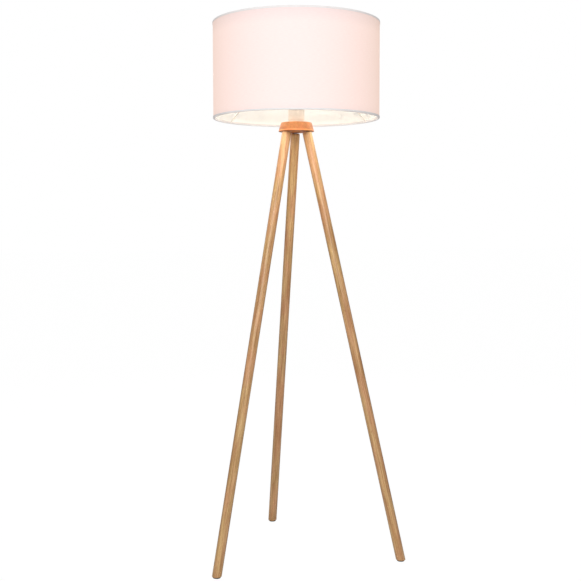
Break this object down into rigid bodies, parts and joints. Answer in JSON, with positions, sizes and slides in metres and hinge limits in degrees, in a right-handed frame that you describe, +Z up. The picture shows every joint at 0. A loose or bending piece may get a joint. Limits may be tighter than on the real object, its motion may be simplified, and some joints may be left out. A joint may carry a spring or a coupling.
{
  "type": "tripod floor lamp",
  "caption": "Floor lamp on a splayed tripod of round wooden legs under a turned wooden hub, with a white drum shade over a screw-in bulb.",
  "frame": {"origin": "on the floor, under the lamp's own axis, which is the axis of the hub, the holder and the shade", "axes": "+Z up along the lamp's axis; -Y to the front, between the two front legs; +Y towards the back leg"},
  "size_m": [0.5304, 0.5293, 1.45],
  "materials": {
    "oiled_beech": "turned and sanded beech under a thin satin oil",
    "dark_rubber": "matt moulded rubber",
    "zinc_plated_steel": "bright zinc plating",
    "brass": "stamped brass",
    "nickel_plated_brass": "rolled thread, nickel plated",
    "solder": "dull solder",
    "white_thermoplastic": "satin moulded thermoplastic",
    "steatite": "unglazed pressed ceramic",
    "black_glass": "black vitrified insulator",
    "opal_globe": "opal diffusing polycarbonate",
    "light_board": "white printed aluminium board",
    "shade_fabric": "fine plain-woven white fabric",
    "shade_liner": "white backing sheet",
    "shade_hem": "folded woven strip",
    "painted_wire": "white powder coat on steel wire"
  },
  "bodies": {
    "stand": {"hub": "oiled_beech", "leg_front_left": "oiled_beech", "leg_front_right": "oiled_beech", "leg_back": "oiled_beech", "foot_pad_front_left": "dark_rubber", "foot_pad_front_right": "dark_rubber", "foot_pad_back": "dark_rubber", "hanger_bolts": "zinc_plated_steel", "hub_inserts": "brass", "cord_tube": "zinc_plated_steel", "tube_washer": "zinc_plated_steel", "tube_nut": "zinc_plated_steel", "holder_base": "white_thermoplastic", "locking_screw": "zinc_plated_steel", "holder_shell": "white_thermoplastic", "contact_block": "steatite", "screw_shell": "brass", "centre_contact": "brass", "terminal_screws": "brass"},
    "clamp_ring": {"retaining_ring": "white_thermoplastic"},
    "shade": {"shade_fabric": "shade_fabric", "shade_liner": "shade_liner", "bottom_ring": "painted_wire", "top_ring": "painted_wire", "bottom_hem": "shade_hem", "top_hem": "shade_hem", "centre_ring": "painted_wire", "shade_arm_1": "painted_wire", "shade_arm_2": "painted_wire", "shade_arm_3": "painted_wire"},
    "bulb_foot": {"bulb_tip": "solder"},
    "bulb": {"bulb_cap": "nickel_plated_brass", "bulb_insulator": "black_glass", "bulb_housing": "white_thermoplastic", "bulb_globe": "opal_globe", "light_board": "light_board"}
  },
  "joints": [
    {"name": "shade_turn", "type": "hinge", "parent": "stand", "child": "shade", "pos_m": [0, 0, 1.239], "axis": [0, 0, 1], "continuous": true},
    {"name": "ring_turn", "type": "hinge", "parent": "stand", "child": "clamp_ring", "pos_m": [0, 0, 1.2405], "axis": [0, 0, 1], "range_deg": [0, 90]},
    {"name": "bulb_lift", "type": "slide", "parent": "stand", "child": "bulb_foot", "axis": [0, 0, 1], "range_m": [0, 0.01089]},
    {"name": "bulb_turn", "type": "hinge", "parent": "bulb_foot", "child": "bulb", "pos_m": [0, 0, 1.226], "axis": [0, 0, 1], "range_deg": [0, 1080]}
  ],
  "couplings": [
    {"joint": "bulb_turn", "follows": "bulb_lift", "rad_per_m": 1730.9}
  ]
}
